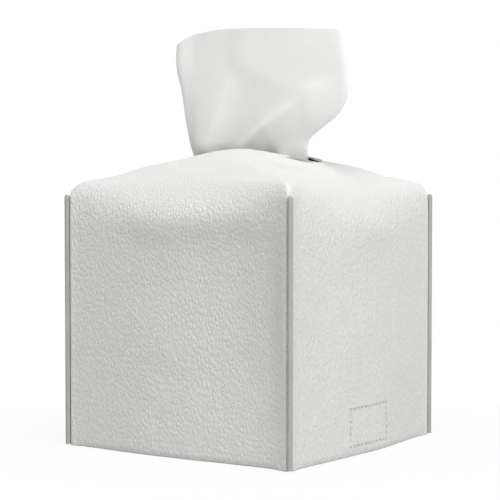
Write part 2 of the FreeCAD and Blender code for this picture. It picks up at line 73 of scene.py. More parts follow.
# Corner seams: a cord between the rolled edges of two panels, and their turned-in edges inside
CORNERS = {"front_right": 3, "back_right": 0, "back_left": 1, "front_left": 2}
PIPING_RADIUS = 1.3
PIPING_REACH = CORNER_REACH + 0.3
PIPING_BASE = 0.5
SEAM_TOP = CORNER_TOP + PIPING_RADIUS
SEAM_DEPTH = 1.6
TURNED_IN = 4.8
TURNED_IN_STITCHES = 1.7

# Heights over the end of a seam between which it opens
SEAM_OPENS = (0.8, -1.5)

# Rolled edge of a panel beside the cord: distance from the corner, and how far it stands out
SEAM_EDGE = ((7.0, 0.0), (5.0, 0.10), (3.6, 0.28), (2.8, 0.44), (2.25, 0.52), (1.85, 0.48), (1.58, 0.32),
             (1.42, 0.05), (1.34, -0.35), (1.3, -0.85))

# Share of a side over which its ridge is rounded off: over the seam's end, what is added on the way to the
# slot, and the most
RIDGE_SOFT = 0.04
RIDGE_SOFT_ADDED = (0.25, 2.8)
RIDGE_SOFT_MOST = 0.95

# Columns of one panel in the cover's mesh, and the share of the panel that they take up
PANEL_COLUMNS = 44
PANEL_COLUMN_END = 0.865

# Rows of the cover's mesh; those of the crown are closer together near the slot
CROWN_ROWS = 30
CROWN_ROW_POWER = 1.15
SEAM_END_ROWS = (2.2, 1.5, 0.9, 0.4, 0, -0.4, -0.9, -1.5, -2.2, -3.2, -4.5, -6.5, -9, -12, -16, -20)
PANEL_ROWS = 34
LINING_PANEL_ROWS = 10
LINING_DOME_ROWS = 16

# Bow of the panels of a filled cover, in the order +X, +Y, -X, -Y; half its width, its share at the top, and
# the heights between which it comes to its full depth and to its end
PANEL_BOW = (3.2, 1.2, 1.6, 2.0)
BOW_HALF = 59
BOW_TOP_SHARE = 0.35
BOW_GROWS = (95, 10)
BOW_ENDS = (128, 96)

# Slack of soft leather: its slow and its quick waves, their scale, and the heights between which it ends
SLOW_SLACK = 1.1
QUICK_SLACK = 0.35
SLACK_SCALE = (0.022, 0.026, 7.3)
QUICK_SCALE = 2.7
SLACK_ENDS = (136, 112)

# Roll of the top over the front panel: how far it stands out, its height and its reach up and down
FRONT_SIDE = 3
ROLL_BULGE = 2.6
ROLL_HEIGHT = 111.5
ROLL_REACH = 9.5

# Hollow in the front panel beside its right corner: a sharp part under the roll and a slow one below it
HOLLOW_MIDDLE = 37
HOLLOW_REACH = 34
HOLLOW_ENDS = (62, 52)
ROLL_HOLLOW = 2.6
ROLL_HOLLOW_TOP = 98
ROLL_HOLLOW_REACH = (13, 60)
SLOW_HOLLOW = 3.3
SLOW_HOLLOW_TOP = 125
SLOW_HOLLOW_MIDDLE = 45
SLOW_HOLLOW_HEM_SHARE = 0.4

# Stitches, and the margin at both ends of a seam's row
STITCH_LENGTH = 2.3
STITCH_WIDTH = 0.75
STITCH_HEIGHT = 0.35
STITCH_PITCH = 3.1
STITCH_SINK = 0.15
SEAM_MARGIN = 3.0

# Boxes of stitches on the panels: half width, low and high edge of the belt's and the closing tab's, the
# groove they press into the leather, with painted shade along it, and the distance from the middle beyond
# which it is drawn
BOX_HALF = 16.0
BELT_BOX = (4.5, 22.0)
TAB_BOX = (6.3, 22.0)
BOX_GROOVE = 0.55
BOX_REACH = 59.8


# Meshes

SHARP_ANGLE = math.radians(50)


def grid_piece(columns, rows, place, wrap_columns=False, wrap_rows=False, finish=None):
    """Grid whose vertices are moved to place(column, row), closed where it wraps round; finish(column, row)
    gives the number of a face's material."""
    mesh = bmesh.new()
    bmesh.ops.create_grid(mesh, x_segments=columns, y_segments=rows, size=1)
    for face in mesh.faces:
        row, column = divmod(min(vert.index for vert in face.verts), columns + 1)
        face.material_index = finish(column, row) if finish else 0
    for vert in mesh.verts:
        row, column = divmod(vert.index, columns + 1)
        if wrap_columns:
            column %= columns
        if wrap_rows:
            row %= rows
        vert.co = Vector(place(column, row)) * MM
    if wrap_columns or wrap_rows:
        bmesh.ops.remove_doubles(mesh, verts=mesh.verts, dist=1e-7)
    return mesh


def close_ends(mesh):
    """Fills the open ends of a tube and turns its faces outwards."""
    bmesh.ops.holes_fill(mesh, edges=[edge for edge in mesh.edges if edge.is_boundary], sides=0)
    bmesh.ops.recalc_face_normals(mesh, faces=mesh.faces)


def add_object(name, data):
    """Adds an object to the scene."""
    added = bpy.data.objects.new(name, data)
    bpy.context.scene.collection.objects.link(added)
    return added


def finish_piece(name, mesh, materials, body):
    """Makes the object for a finished mesh, smooth up to its sharp edges, and lets it ride on a body."""
    data = bpy.data.meshes.new(name)
    for face in mesh.faces:
        face.smooth = True
    for edge in mesh.edges:
        edge.smooth = edge.calc_face_angle(0) < SHARP_ANGLE
    mesh.to_mesh(data)
    mesh.free()
    piece = add_object(name, data)
    for material in materials:
        data.materials.append(material)
    if body:
        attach(piece, body)
    return piece


def ease(low, high, value):
    """0 up to low, 1 from high on, and smooth between them; low may be the greater one."""
    share = min(1, max(0, (value - low) / (high - low)))
    return share * share * (3 - 2 * share)


def along_table(table, value):
    """Smooth curve through a table of (place, value) pairs."""
    places = [place for place, _ in table]
    value = min(max(value, places[0]), places[-1])
    number = next(step for step in range(len(table) - 1) if value <= places[step + 1])
    slopes = []
    for step in (number, number + 1):
        before, after = table[max(0, step - 1)], table[min(len(table) - 1, step + 1)]
        slopes.append((after[1] - before[1]) / (after[0] - before[0]))
    (start, low), (end, high) = table[number], table[number + 1]
    share = (value - start) / (end - start)
    rest = 1 - share
    bend = (end - start) * share * rest * (slopes[0] * rest - slopes[1] * share)
    return low * rest ** 2 * (1 + 2 * share) + high * share ** 2 * (1 + 2 * rest) + bend


def waver(first, second, scale):
    """Smooth noise from -1 to 1; scale gives its change along two ways and its layer."""
    return noise.noise(Vector((first * scale[0], second * scale[1], scale[2])))


# Form of the draped leather

HALVINGS = 40
NEAR_CROWN = 0.01
RUN_STEPS = 80
RUN_SHARES = 60
ACROSS_STEPS = 40


def panel_reach(height, inset):
    """Middle of a panel from the axis: upright, then the curve of the dome."""
    share = max(0, height - DOME_BASE) / (DOME_RISE - inset)
    return (PANEL_HALF - inset) * max(0, 1 - share ** DOME_POWER) ** (1 / DOME_POWER)


def corner_reach(height, inset):
    """Corner from the axis: upright, then a tight roll, then a straight ridge."""
    middle = CORNER_REACH - CORNER_ROLL
    roll = CORNER_ROLL - ROOT_TWO * inset
    rise = height - CORNER_TOP
    if rise <= 0:
        return middle + roll
    if rise <= roll * math.cos(RIDGE_FALL):
        return middle + math.sqrt(roll ** 2 - rise ** 2)
    return middle + (roll - rise * math.cos(RIDGE_FALL)) / math.sin(RIDGE_FALL)


def side_point(height, across, inset):
    """Place on the side that faces +X; across runs from -1 to 1, corner to corner."""
    middle = panel_reach(height, inset)
    corner = max(corner_reach(height, inset) / ROOT_TWO, middle)
    y = across * corner
    if corner - middle < 1e-4:
        return middle, y
    centre = (2 * corner ** 2 - middle ** 2) / (2 * (corner - middle))
    radius = centre - middle
    return centre - math.sqrt(max(0, radius ** 2 - y ** 2)), y


def slot_margin(x, y, lengthwise):
    """Distance outside the slot's edge for a place on a side that faces along the slot, or across it."""
    along, off = (x, y) if lengthwise else (y, x)
    return math.hypot(max(0, abs(along) - SLOT_STRAIGHT), off) - SLOT_RADIUS


def lip_height(across, lengthwise, inset):
    """Height at which this run of leather comes to the slot."""
    low, high = DOME_BASE, CROWN - inset - NEAR_CROWN
    for _ in range(HALVINGS):
        middle = (low + high) / 2
        if slot_margin(*side_point(middle, across, inset), lengthwise) > LIP_ROUND:
            low = middle
        else:
            high = middle
    return low


def run_heights(across, lengthwise, inset):
    """Heights at even steps along the leather from the slot down to the panel's flat part."""
    top = lip_height(across, lengthwise, inset)
    heights = [top - (top - DOME_BASE) * (step / RUN_STEPS) ** 2 for step in range(RUN_STEPS + 1)]
    places = [Vector((*side_point(height, across, inset), height)) for height in heights]
    lengths = [0]
    for start, end in zip(places, places[1:]):
        lengths.append(lengths[-1] + (end - start).length)
    found, step = [], 0
    for share in range(RUN_SHARES + 1):
        want = lengths[-1] * share / RUN_SHARES
        while step < RUN_STEPS - 1 and lengths[step + 1] < want:
            step += 1
        part = (want - lengths[step]) / max(1e-9, lengths[step + 1] - lengths[step])
        found.append(heights[step] + (heights[step + 1] - heights[step]) * part)
    return found


def run_table(inset):
    """Run heights for both kinds of side, from the middle of a panel to its corner."""
    return [[run_heights(step / ACROSS_STEPS, lengthwise, inset) for step in range(ACROSS_STEPS + 1)]
            for lengthwise in (False, True)]


RUNS = {0: run_table(0), LEATHER: run_table(LEATHER)}


def run_height(lengthwise, across, share, inset):
    """Height at a share of the way down the leather, between the rows of the table."""
    column = min(abs(across), 1) * ACROSS_STEPS
    row = min(max(share, 0), 1) * RUN_SHARES
    left, low = min(int(column), ACROSS_STEPS - 1), min(int(row), RUN_SHARES - 1)
    table = RUNS[inset][lengthwise]
    part = row - low
    near = table[left][low] + (table[left][low + 1] - table[left][low]) * part
    far = table[left + 1][low] + (table[left + 1][low + 1] - table[left + 1][low]) * part
    return near + (far - near) * (column - left)


def turned(side, x, y, z):
    """A place on the side that faces +X, turned to one of the four sides."""
    for _ in range(side % 4):
        x, y = -y, x
    return Vector((x, y, z))


def hollow_depth(y, z):
    """How far the front panel is drawn in under the roll of the top, beside its right corner."""
    upwards, downwards = ROLL_HOLLOW_REACH
    rise = (z - ROLL_HOLLOW_TOP) / (upwards if z > ROLL_HOLLOW_TOP else downwards)
    depth = ROLL_HOLLOW * math.exp(-rise ** 2)
    hem = SLOW_HOLLOW_HEM_SHARE + (1 - SLOW_HOLLOW_HEM_SHARE) * ease(0, SLOW_HOLLOW_MIDDLE, z)
    depth += SLOW_HOLLOW * ease(SLOW_HOLLOW_TOP, SLOW_HOLLOW_MIDDLE, z) * hem
    return depth * math.exp(-((y - HOLLOW_MIDDLE) / HOLLOW_REACH) ** 2) * ease(*HOLLOW_ENDS, abs(y))


def panel_sway(side, y, z):
    """How far a panel stands out of its plane: its bow and slack, and the front panel's roll and hollow."""
    side %= 4
    edge = max(0, 1 - (y / BOW_HALF) ** 2) ** 2
    growth = BOW_TOP_SHARE + (1 - BOW_TOP_SHARE) * ease(*BOW_GROWS, z)
    bow = PANEL_BOW[side] * growth * ease(*BOW_ENDS, z)
    along, upwards, apart = SLACK_SCALE
    place = Vector((y * along, z * upwards, apart * side))
    slack = SLOW_SLACK * noise.noise(place) + QUICK_SLACK * noise.noise(place * QUICK_SCALE)
    roll, hollow = 0, 0
    if side == FRONT_SIDE:
        roll = ROLL_BULGE * math.exp(-((z - ROLL_HEIGHT) / ROLL_REACH) ** 2)
        hollow = hollow_depth(y, z)
    return edge * (bow + roll + slack * ease(*SLACK_ENDS, z)) - hollow


def on_drape(side, across, share, inset):
    """Place on the draped top, on one side, at a share of the way from the slot to the flat panel."""
    height = run_height(side % 2 == 0, across, share, inset)
    x, y = side_point(height, across, inset)
    return turned(side, x + panel_sway(side, y, height), y, height)


def corner_share(height):
    """Share of the way down a corner at which it has this height."""
    heights = RUNS[0][0][ACROSS_STEPS]
    for step, (high, low) in enumerate(zip(heights, heights[1:])):
        if low <= height:
            return (step + (high - height) / (high - low)) / RUN_SHARES
    return 1


SEAM_SHARE = corner_share(SEAM_TOP)


def softened(side, across, share, inset, soft):
    """Place on the draped top with its ridges rounded off over a share of each side, soft."""
    begin = 1 - soft
    if abs(across) <= begin:
        return on_drape(side, across, share, inset)
    way = 1 if across > 0 else -1
    part = (abs(across) - begin) / soft / 2
    near = on_drape(side, way * begin, share, inset)
    corner = on_drape(side, way, share, inset)
    far = on_drape(side + way, -way * begin, share, inset)
    return near * (1 - part) ** 2 + corner * 2 * part * (1 - part) + far * part ** 2


# Columns of the cover: the rolled edges of two seams, with the panel between them

SEAM_HALF = len(SEAM_EDGE)
SIDE_COLUMNS = PANEL_COLUMNS + 2 * SEAM_HALF + 1
RING = 4 * SIDE_COLUMNS


def column_across(column):
    """Place of a column on a panel, -1 to 1, and its place when spread evenly round the slot."""
    flat = [distance / PANEL_HALF for distance, _ in SEAM_EDGE]
    low = [-1 + distance for distance in reversed(flat)]
    step = 2 * PANEL_COLUMN_END / (PANEL_COLUMNS - 1)
    middle = [-PANEL_COLUMN_END + step * number for number in range(PANEL_COLUMNS)]
    high = [1 - distance for distance in flat] + [1]
    even = -1 + 2 * (column + 1) / SIDE_COLUMNS
    return (low + middle + high)[column], even


ACROSS = [column_across(column) for column in range(SIDE_COLUMNS)]


def outer_row_shares():
    """Shares of the rows from the slot to the flat panels, close together where the seam ends."""
    rows = [SEAM_SHARE * (step / CROWN_ROWS) ** CROWN_ROW_POWER for step in range(CROWN_ROWS - 1)]
    rows += [corner_share(SEAM_TOP + step) for step in SEAM_END_ROWS]
    return sorted(rows) + [1]


def seam_open(height):
    """How far a seam has opened at one height: 0 above the cord's end, 1 along the cord."""
    begin, end = SEAM_OPENS
    return ease(SEAM_TOP + begin, SEAM_TOP + end, height)


def seam_roll(side, column, height):
    """How the leather beside a cord leaves the plain form: out in a roll, then in under the cord."""
    if column == SIDE_COLUMNS - 1:
        depth = -SEAM_DEPTH / ROOT_TWO * seam_open(height)
        return turned(side, depth, depth, 0)
    number = SEAM_HALF - 1 - column if column < SEAM_HALF else column - SEAM_HALF - PANEL_COLUMNS
    stands_out = SEAM_EDGE[number][1] if 0 <= number < SEAM_HALF else 0
    return turned(side, stands_out * seam_open(height), 0, 0)


def dome_vertex(side, column, share, inset):
    """Place of a column on the draped top."""
    base, even = ACROSS[column]
    across = base + (even - base) * ease(SEAM_SHARE, 0, share)
    away = max(0, SEAM_SHARE - share) / SEAM_SHARE
    closed = 1 - seam_open(run_height(True, 1, share, inset))
    steady, late = RIDGE_SOFT_ADDED
    soft = min(RIDGE_SOFT_MOST, RIDGE_SOFT * closed + steady * away + late * away ** 3)
    place = softened(side, across, share, inset, soft)
    return place if inset else place + seam_roll(side, column, place.z)


def panel_vertex(side, column, height, inset):
    """Place of a column on the upright part of a panel."""
    x, y = PANEL_HALF - inset, ACROSS[column][0] * (PANEL_HALF - inset)
    place = turned(side, x + panel_sway(side, y, height), y, height)
    return place if inset else place + seam_roll(side, column, height)


def lip_vertex(side, column, inset, drop):
    """Place on the cut edge of the slot, drop below the leather's outer or inner face."""
    place = dome_vertex(side, column, 0, inset)
    core = Vector((min(SLOT_STRAIGHT, max(-SLOT_STRAIGHT, place.x)), 0, place.z))
    outwards = (place - core).normalized()
    return core + outwards * SLOT_RADIUS - Vector((0, 0, drop))


def cover_rows():
    """Rows of the cover from the slot, down the outside, round the hem and up the inside."""
    rows = [("dome", share, 0) for share in outer_row_shares()]
    rows += [("panel", DOME_BASE * (1 - step / PANEL_ROWS), 0) for step in range(1, PANEL_ROWS)]
    rows += [("panel", HEM_ROUND, 0), ("hem", 0, HEM_ROUND), ("hem", 0, LEATHER - HEM_ROUND)]
    rows += [("panel", HEM_ROUND, LEATHER)]
    rows += [("panel", DOME_BASE * step / LINING_PANEL_ROWS, LEATHER)
             for step in range(1, LINING_PANEL_ROWS)]
    rows += [("dome", 1 - step / LINING_DOME_ROWS, LEATHER) for step in range(LINING_DOME_ROWS + 1)]
    rows += [("lip", LEATHER, -LIP_ROUND), ("lip", 0, LIP_ROUND)]
    return rows


def cover_vertex(row, column):
    """Place of one vertex of the cover."""
    kind, value, inset = row
    side, column = divmod(column, SIDE_COLUMNS)
    if kind == "dome":
        return dome_vertex(side, column, value, inset)
    if kind == "panel":
        return panel_vertex(side, column, value, inset)
    if kind == "lip":
        return lip_vertex(side, column, value, inset)
    if inset < LEATHER / 2:
        pull = inset if SEAM_HALF <= column < SEAM_HALF + PANEL_COLUMNS else 0
        return panel_vertex(side, column, HEM_ROUND, 0) + turned(side, -pull, 0, value - HEM_ROUND)
    return panel_vertex(side, column, value, inset)


SKIN_SIDE, CUT_SIDE, LINING_SIDE = range(3)


def row_side(row):
    """Which side of the leather a row of the cover is on."""
    kind, _, inset = row
    if kind in ("lip", "hem"):
        return CUT_SIDE
    return LINING_SIDE if inset else SKIN_SIDE


# Materials

SHADER = "Principled BSDF"

# Grain of the leather: size of a pebble, how it is drawn out, bent, raised and creased, and its depth
GRAIN = 1.35
GRAIN_STRETCH = (1.0, 1.0, 0.5)
GRAIN_WARP = 1.6
GRAIN_WARP_SIZE = 3.5
PEBBLE_SOFT = 0.7
PEBBLE_RISE = 0.8
CREASE_WIDTH = 0.3
GRAIN_DEPTH = 0.21

# Fine grain on the pebbles, and the groove of the stitches, as shares of the grain's height
FINE_GRAIN = 0.7
FINE_GRAIN_SHARE = 0.2
GROOVE_SHARE = -3.0

# Heights between which the grain is stretched flat, and what is left of it on the crown
GRAIN_FLATTENS = (115, 132)
CROWN_GRAIN = 0.35


def linear(code):
    """Linear colour of an sRGB hex value."""
    parts = [int(code[place:place + 2], 16) / 255 for place in (1, 3, 5)]
    return [part / 12.92 if part <= 0.04045 else ((part + 0.055) / 1.055) ** 2.4 for part in parts] + [1]


def add_node(tree, kind, links=None, **settings):
    """Adds a node and gives its outputs; links has a socket to link, or a value, for each of its inputs."""
    node = tree.nodes.new("ShaderNode" + kind)
    for name, value in settings.items():
        setattr(node, name, value)
    for name, value in (links or {}).items():
        if isinstance(value, bpy.types.NodeSocket):
            tree.links.new(value, node.inputs[name])
        else:
            node.inputs[name].default_value = value
    return node.outputs


def new_material(name, **values):
    """A material with plain values set on its shader, its nodes and the object's coordinates."""
    material = bpy.data.materials.new(name)
    material.use_nodes = True
    tree = material.node_tree
    for socket, value in values.items():
        tree.nodes[SHADER].inputs[socket.replace("_", " ")].default_value = value
    return material, tree, add_node(tree, "TexCoord")["Object"]


def finish_surface(material, tone, layers, height, strength, depth, invert=False):
    """Gives a material a tone, others laid over it by their shares, and a relief depth millimetres deep."""
    tree = material.node_tree
    inputs = tree.nodes[SHADER].inputs
    colour = linear(tone)
    for share, over in layers:
        colour = add_node(tree, "Mix", {"Factor": share, "A": colour, "B": linear(over)},
                          data_type="RGBA")["Result"]
    tree.links.new(colour, inputs["Base Color"])
    bump = add_node(tree, "Bump", {"Height": height, "Strength": strength, "Distance": depth * MM},
                    invert=invert)
    tree.links.new(bump["Normal"], inputs["Normal"])
    return material


def per_mm(size):
    """Texture scale at which one cell is size millimetres wide."""
    return 1 / (size * MM)


def pebble_height(tree, coords):
    """Height of the grain, soft pebbles uneven in size, and a share: 1 on them, 0 in the creases."""
    warp = add_node(tree, "TexNoise", {"Vector": coords, "Scale": per_mm(GRAIN_WARP_SIZE), "Detail": 2.0})
    bent = add_node(tree, "VectorMath", {0: warp["Color"], 1: [GRAIN_WARP * MM] * 3, 2: coords},
                    operation="MULTIPLY_ADD")[0]
    grain = {"Vector": bent, "Scale": per_mm(GRAIN)}
    cells = add_node(tree, "TexVoronoi", {**grain, "Smoothness": PEBBLE_SOFT}, feature="SMOOTH_F1")
    creases = add_node(tree, "TexVoronoi", grain, feature="DISTANCE_TO_EDGE")["Distance"]
    pebble = add_node(tree, "MapRange", {"Value": creases, "From Max": CREASE_WIDTH},
                      interpolation_type="SMOOTHSTEP")[0]
    height = add_node(tree, "Math", {0: pebble, 1: PEBBLE_RISE, 2: 1.0}, operation="MULTIPLY_ADD")[0]
    height = add_node(tree, "Math", {0: height, 1: cells["Distance"]}, operation="SUBTRACT")[0]
    return height, pebble


def box_groove_and_shade(tree, coords):
    """1 along the boxes of stitches low on the panels that face +X and -X, 0 elsewhere; it sets the groove
    and its painted shade.
    """
    place = add_node(tree, "SeparateXYZ", {"Vector": coords})
    right = add_node(tree, "Math", {0: place["X"], 1: 0.0}, operation="GREATER_THAN")[0]
    tab, belt, top = (size * MM for size in (TAB_BOX[0], *BELT_BOX))
    low = add_node(tree, "MapRange", {"Value": right, "To Min": tab, "To Max": belt})[0]
    middle = add_node(tree, "Math", {0: low, 1: 0.5, 2: top / 2}, operation="MULTIPLY_ADD")[0]
    half = add_node(tree, "Math", {0: top, 1: middle}, operation="SUBTRACT")[0]
    off = {}
    for number, way, centre, size in ((0, "Y", 0.0, BOX_HALF * MM), (1, "Z", middle, half)):
        away = add_node(tree, "Math", {0: place[way], 1: centre}, operation="SUBTRACT")[0]
        away = add_node(tree, "Math", {0: away}, operation="ABSOLUTE")[0]
        off[number] = add_node(tree, "Math", {0: away, 1: size}, operation="SUBTRACT")[0]
    away = add_node(tree, "Math", off, operation="MAXIMUM")[0]
    away = add_node(tree, "Math", {0: away}, operation="ABSOLUTE")[0]
    line = add_node(tree, "MapRange", {"Value": away, "From Max": BOX_GROOVE * MM, "To Min": 1.0,
                                       "To Max": 0.0}, interpolation_type="SMOOTHSTEP")[0]
    reach = add_node(tree, "Math", {0: place["X"]}, operation="ABSOLUTE")[0]
    near = add_node(tree, "Math", {0: reach, 1: BOX_REACH * MM}, operation="GREATER_THAN")[0]
    return add_node(tree, "Math", {0: line, 1: near}, operation="MULTIPLY")[0]


def leather_skin():
    """Faux leather embossed with a pebble grain: soft satin white, with painted shade a little darker in the
    creases.
    """
    material, tree, coords = new_material("pebbled_pu_leather", Roughness=0.55, IOR=1.46)
    drawn = add_node(tree, "Mapping", {"Vector": coords, "Scale": GRAIN_STRETCH})[0]
    height, pebble = pebble_height(tree, drawn)
    # The stitch groove is pressed in as relief and is also painted darker grey, as painted shade along it.
    groove_and_shade = box_groove_and_shade(tree, coords)
    fine = add_node(tree, "TexNoise", {"Vector": coords, "Scale": per_mm(FINE_GRAIN), "Detail": 2.0})["Fac"]
    for layer, share in ((fine, FINE_GRAIN_SHARE), (groove_and_shade, GROOVE_SHARE)):
        height = add_node(tree, "Math", {0: layer, 1: share, 2: height}, operation="MULTIPLY_ADD")[0]
    up = add_node(tree, "SeparateXYZ", {"Vector": coords})["Z"]
    low, high = GRAIN_FLATTENS
    strength = add_node(tree, "MapRange", {"Value": up, "From Min": low * MM, "From Max": high * MM,
                                           "To Min": 1.0, "To Max": CROWN_GRAIN})[0]
    # Pebbles and creases differ in colour only as painted shade: the creases are painted a little darker.
    layers = ((pebble, "#d4d4d3"), (groove_and_shade, "#b2b2af"))
    return finish_surface(material, "#d0d0ce", layers, height, strength, GRAIN_DEPTH)


def fibre(name, tone, over, grain, depth):
    """Non-woven fibre backing, or a cut edge of it: matt grey-beige with short fibres."""
    material, tree, coords = new_material(name, Roughness=0.92, IOR=1.4)
    fibres = add_node(tree, "TexNoise", {"Vector": coords, "Scale": per_mm(grain), "Detail": 4.0,
                                         "Roughness": 0.7, "Distortion": 1.2})["Fac"]
    share = add_node(tree, "MapRange", {"Value": fibres, "From Min": 0.3, "From Max": 0.7})[0]
    return finish_surface(material, tone, [(share, over)], fibres, strength=0.5, depth=depth)


def piping_leather():
    """Thin grey faux leather wrapped round a cord: matt, with a fine grain and a slow change of tone."""
    material, tree, coords = new_material("grey_piping_leather", Roughness=0.7, IOR=1.46)
    grain = add_node(tree, "TexNoise", {"Vector": coords, "Scale": per_mm(0.9), "Detail": 3.0})["Fac"]
    tone = add_node(tree, "TexNoise", {"Vector": coords, "Scale": per_mm(14), "Detail": 2.0})["Fac"]
    return finish_surface(material, "#9a9894", [(tone, "#acaaa6")], grain, strength=0.6, depth=0.25)


def sewing_thread():
    """Bonded polyester thread: white with a soft shine, its twist drawn as coarse as it shows."""
    material, tree, coords = new_material("polyester_thread", Roughness=0.55, IOR=1.5)
    twist = add_node(tree, "TexWave", {"Vector": coords, "Scale": per_mm(14), "Distortion": 0.6},
                     bands_direction="DIAGONAL")["Fac"]
    return finish_surface(material, "#cfcfcd", [(twist, "#e2e2e0")], twist, strength=0.4, depth=0.1)


def tissue_paper():
    """Creped facial tissue: matt, soft white, with fine crepe lines; a little light passes through."""
    material, tree, coords = new_material(
        "creped_tissue", Roughness=0.95, IOR=1.3, Subsurface_Weight=0.12, Subsurface_Scale=0.002,
        Subsurface_Radius=(1.0, 1.0, 1.0))
    squeezed = add_node(tree, "Mapping", {"Vector": coords, "Scale": (0.35, 0.35, 1.0)})[0]
    crepe = add_node(tree, "TexNoise", {"Vector": squeezed, "Scale": per_mm(0.9), "Detail": 3.0})["Fac"]
    clouds = add_node(tree, "TexNoise", {"Vector": coords, "Scale": per_mm(6), "Detail": 2.0})["Fac"]
    return finish_surface(material, "#eaeae9", [(clouds, "#eeeeed")], crepe, strength=0.15, depth=0.2)


def tape(name, tone, over, pitch, depth):
    """Nylon hook or loop tape: rows of small raised points on a woven ground."""
    material, tree, coords = new_material(name, Roughness=0.8, IOR=1.5)
    points = add_node(tree, "TexVoronoi", {"Vector": coords, "Scale": per_mm(pitch), "Randomness": 0.45})
    away = points["Distance"]
    share = add_node(tree, "MapRange", {"Value": away, "From Min": 0.1, "From Max": 0.7})[0]
    return finish_surface(material, tone, [(share, over)], away, strength=0.8, depth=depth, invert=True)


def paperboard():
    """Uncoated paperboard of the carton: warm grey-white, with a faint cloudy formation."""
    material, tree, coords = new_material("carton_paperboard", Roughness=0.85, IOR=1.45)
    clouds = add_node(tree, "TexNoise", {"Vector": coords, "Scale": per_mm(2.5), "Detail": 5.0})["Fac"]
    return finish_surface(material, "#d6d4ce", [(clouds, "#e9e7e2")], clouds, strength=0.15, depth=0.2)


SKIN_MATERIAL = leather_skin()
CUT_EDGE = fibre("cut_leather_edge", "#8d8983", "#b9b6b0", grain=0.8, depth=0.3)
BACKING = fibre("fibre_backing", "#aaa69f", "#c2beb7", grain=1.1, depth=0.2)
PIPING = piping_leather()
THREAD = sewing_thread()
TISSUE = tissue_paper()
HOOKS = tape("hook_tape", "#e4e4e2", "#c3c3c1", pitch=1.3, depth=0.6)
LOOPS = tape("loop_tape", "#e6e6e4", "#cfcfcd", pitch=0.7, depth=0.4)
BOARD = paperboard()


# The cover

PIPING_SIDES = 18
PIPING_ROWS = 48
PIPING_END_ROWS = 6
PIPING_END_TURN = 88
PIPING_SWAY = 0.12
PIPING_SWAY_SCALE = (0.03, 3.1, 0.7)


def make_cover():
    """Draped leather with its rolled corner edges and slot, one closed shell."""
    rows = cover_rows()

    def place(column, row):
        return cover_vertex(rows[row], column)

    def finish(column, row):
        sides = {row_side(rows[row]), row_side(rows[(row + 1) % len(rows)])}
        return sides.pop() if len(sides) == 1 else CUT_SIDE

    mesh = grid_piece(RING, len(rows), place, True, True, finish)
    bmesh.ops.recalc_face_normals(mesh, faces=mesh.faces)
    cover = finish_piece("leather_drape", mesh, (SKIN_MATERIAL, CUT_EDGE, BACKING), "cover")
    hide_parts("leather_cover")


def make_turned_in_edges():
    """Edges of the panels, turned in and face to face inside each corner."""
    mesh = bmesh.new()
    length = TURNED_IN + LEATHER / 2
    middle = CORNER_REACH - ROOT_TWO * LEATHER - TURNED_IN / 2 + LEATHER / 4
    for corner in CORNERS.values():
        turn = Matrix.Rotation(math.radians(45 + 90 * corner), 4, "Z")
        place = Matrix.Translation(Vector((middle, 0, CORNER_TOP / 2)) * MM)
        size = Matrix.Diagonal((length * MM, 2 * LEATHER * MM, (CORNER_TOP - 2 * HEM_ROUND) * MM, 1))
        bmesh.ops.create_cube(mesh, size=1, matrix=turn @ place @ size)
    bmesh.ops.bevel(mesh, geom=mesh.edges[:], offset=HEM_ROUND * MM, affect="EDGES", segments=2,
                    profile=0.5, material=-1)
    finish_piece("turned_in_edges", mesh, (BACKING,), "cover")


def make_piping(name, corner):
    """Grey cord in one corner seam, with a round upper end."""
    def place(column, row):
        turn = math.radians(PIPING_END_TURN * max(0, row - PIPING_ROWS) / PIPING_END_ROWS)
        radius = PIPING_RADIUS * math.cos(turn)
        straight = (CORNER_TOP - PIPING_BASE) * min(1, row / PIPING_ROWS)
        height = PIPING_BASE + straight + PIPING_RADIUS * math.sin(turn)
        angle = math.tau * column / PIPING_SIDES
        outwards = PIPING_REACH + radius * math.cos(angle)
        sideways = PIPING_SWAY * waver(height, corner, PIPING_SWAY_SCALE) + radius * math.sin(angle)
        return turned(corner, (outwards - sideways) / ROOT_TWO, (outwards + sideways) / ROOT_TWO, height)

    mesh = grid_piece(PIPING_SIDES, PIPING_ROWS + PIPING_END_ROWS, place, wrap_columns=True)
    close_ends(mesh)
    cord = finish_piece(f"piping_{name}", mesh, (PIPING,), "cover")
    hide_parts(f"corner_piping_{name}")


make_cover()
make_turned_in_edges()
for corner_name, corner_number in CORNERS.items():
    make_piping(corner_name, corner_number)


# Stitches

# Middle of the hook and loop patches; half sides and heights of their boxes of stitches
PATCH_X = -31.1
PATCH_BOX = (11.4, 13.9)
HOOK_STITCHES = 0.55
LOOP_STITCHES = 4.75


def add_stitch(mesh, place, along, outward):
    """One stitch: a short rounded length of thread, half sunk in the leather."""
    along, outward = along.normalized(), outward.normalized()
    turn = Matrix((along, outward.cross(along), outward)).transposed().to_4x4()
    size = Matrix.Diagonal((STITCH_LENGTH / 2 * MM, STITCH_WIDTH / 2 * MM, STITCH_HEIGHT * MM, 1))
    lying = Matrix.Rotation(math.pi / 2, 4, "Y")
    bmesh.ops.create_uvsphere(mesh, u_segments=8, v_segments=6, radius=1,
                              matrix=Matrix.Translation(place * MM) @ turn @ size @ lying)


def stitch_run(mesh, start, end, surface):
    """Even stitches from start to end; surface gives the place and the way out for each."""
    count = round((end - start).length / STITCH_PITCH)
    for step in range(count):
        place, outward = surface(start.lerp(end, (step + 0.5) / count))
        add_stitch(mesh, place, end - start, outward)


